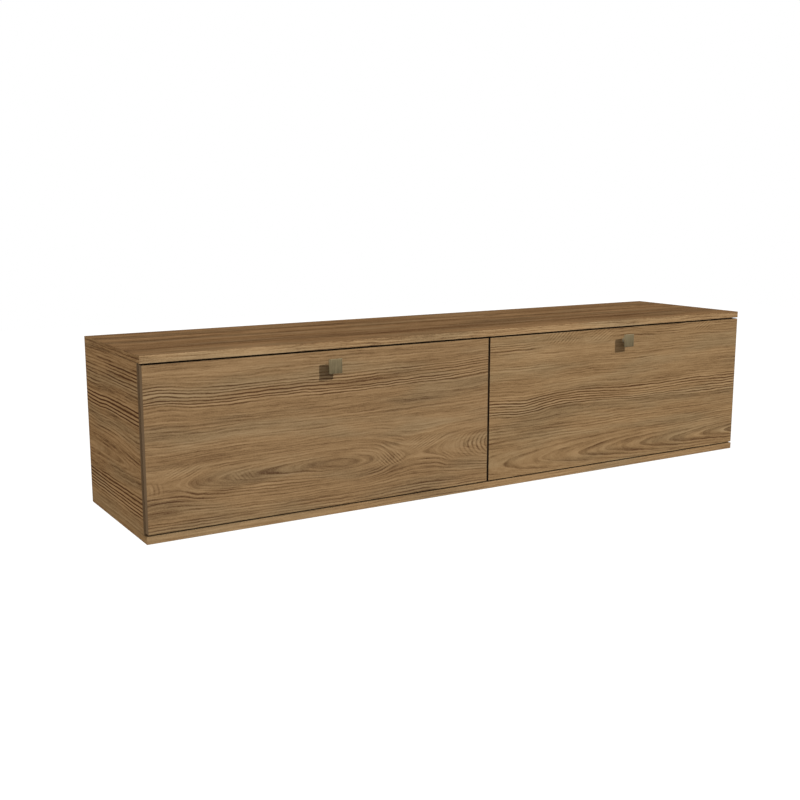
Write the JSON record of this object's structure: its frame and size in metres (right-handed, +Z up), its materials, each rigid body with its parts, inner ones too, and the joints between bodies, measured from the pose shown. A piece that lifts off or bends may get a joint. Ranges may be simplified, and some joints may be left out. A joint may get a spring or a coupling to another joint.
{
  "type": "wall-hung cabinet",
  "caption": "Long low wall-hung cabinet in wood-print board, with drop-down doors on hidden hinges, slotted stays and small square bronze knobs.",
  "frame": {"origin": "centre of the rear face, which lies against the wall", "axes": "+X along the width to the right as seen from the front, +Y into the wall, +Z up"},
  "size_m": [1.58, 0.375, 0.36],
  "materials": {
    "wood_print": "satin",
    "hardboard": "matt",
    "dowel_beech": "matt",
    "bronze": "satin",
    "plated_steel": "satin",
    "cam_zinc": "satin",
    "brown_plastic": "matt",
    "magnet": "matt",
    "soft_pad": "matt"
  },
  "bodies": {
    "carcass": {"back_nails": "plated_steel", "back_panel": "hardboard", "bottom_panel": "wood_print", "cam_bolts": "plated_steel", "cam_locks": "cam_zinc", "carcass_screws": "plated_steel", "divider_panel": "wood_print", "hinge_pins": "plated_steel", "left_catch_holder": "brown_plastic", "left_catch_magnet": "magnet", "left_door_left_end_hinge_base": "plated_steel", "left_door_left_end_stay_plate": "plated_steel", "left_door_right_end_hinge_base": "plated_steel", "left_door_right_end_stay_plate": "plated_steel", "left_lower_rail": "wood_print", "left_side_panel": "wood_print", "left_upper_rail": "wood_print", "right_catch_holder": "brown_plastic", "right_catch_magnet": "magnet", "right_door_left_end_hinge_base": "plated_steel", "right_door_left_end_stay_plate": "plated_steel", "right_door_right_end_hinge_base": "plated_steel", "right_door_right_end_stay_plate": "plated_steel", "right_lower_rail": "wood_print", "right_side_panel": "wood_print", "right_upper_rail": "wood_print", "stay_screws": "plated_steel", "stay_studs": "plated_steel", "top_panel": "wood_print", "wood_dowels": "dowel_beech"},
    "left_flap": {"left_door": "wood_print", "left_door_bumpers": "soft_pad", "left_door_left_end_hinge_leaf": "plated_steel", "left_door_left_end_stay_ear": "plated_steel", "left_door_right_end_hinge_leaf": "plated_steel", "left_door_right_end_stay_ear": "plated_steel", "left_door_screws": "plated_steel", "left_door_stay_rivets": "plated_steel", "left_knob_plate": "bronze", "left_knob_screw": "plated_steel", "left_knob_stem": "bronze", "left_strike_plate": "plated_steel"},
    "left_door_left_end_stay_arm": {"left_door_left_end_stay_arm": "plated_steel"},
    "left_door_right_end_stay_arm": {"left_door_right_end_stay_arm": "plated_steel"},
    "right_flap": {"right_door": "wood_print", "right_door_bumpers": "soft_pad", "right_door_left_end_hinge_leaf": "plated_steel", "right_door_left_end_stay_ear": "plated_steel", "right_door_right_end_hinge_leaf": "plated_steel", "right_door_right_end_stay_ear": "plated_steel", "right_door_screws": "plated_steel", "right_door_stay_rivets": "plated_steel", "right_knob_plate": "bronze", "right_knob_screw": "plated_steel", "right_knob_stem": "bronze", "right_strike_plate": "plated_steel"},
    "right_door_left_end_stay_arm": {"right_door_left_end_stay_arm": "plated_steel"},
    "right_door_right_end_stay_arm": {"right_door_right_end_stay_arm": "plated_steel"}
  },
  "joints": [
    {"name": "left_flap_hinge", "type": "hinge", "parent": "carcass", "child": "left_flap", "pos_m": [-0.39327, -0.352, -0.156], "axis": [1, 0, 0], "range_deg": [0, 90]},
    {"name": "right_flap_hinge", "type": "hinge", "parent": "carcass", "child": "right_flap", "pos_m": [0.39648, -0.352, -0.156], "axis": [1, 0, 0], "range_deg": [0, 90]},
    {"name": "left_left_end_stay_pivot", "type": "hinge", "parent": "left_flap", "child": "left_door_left_end_stay_arm", "pos_m": [0, -0.331, -0.00748], "axis": [1, 0, 0], "range_deg": [-45, 0]},
    {"name": "left_right_end_stay_pivot", "type": "hinge", "parent": "left_flap", "child": "left_door_right_end_stay_arm", "pos_m": [0, -0.331, -0.00748], "axis": [1, 0, 0], "range_deg": [-45, 0]},
    {"name": "right_left_end_stay_pivot", "type": "hinge", "parent": "right_flap", "child": "right_door_left_end_stay_arm", "pos_m": [0, -0.331, -0.00748], "axis": [1, 0, 0], "range_deg": [-45, 0]},
    {"name": "right_right_end_stay_pivot", "type": "hinge", "parent": "right_flap", "child": "right_door_right_end_stay_arm", "pos_m": [0, -0.331, -0.00748], "axis": [1, 0, 0], "range_deg": [-45, 0]}
  ],
  "couplings": [
    {"joint": "left_left_end_stay_pivot", "follows": "left_flap_hinge", "ratio": -0.5},
    {"joint": "left_right_end_stay_pivot", "follows": "left_flap_hinge", "ratio": -0.5},
    {"joint": "right_left_end_stay_pivot", "follows": "right_flap_hinge", "ratio": -0.5},
    {"joint": "right_right_end_stay_pivot", "follows": "right_flap_hinge", "ratio": -0.5}
  ]
}
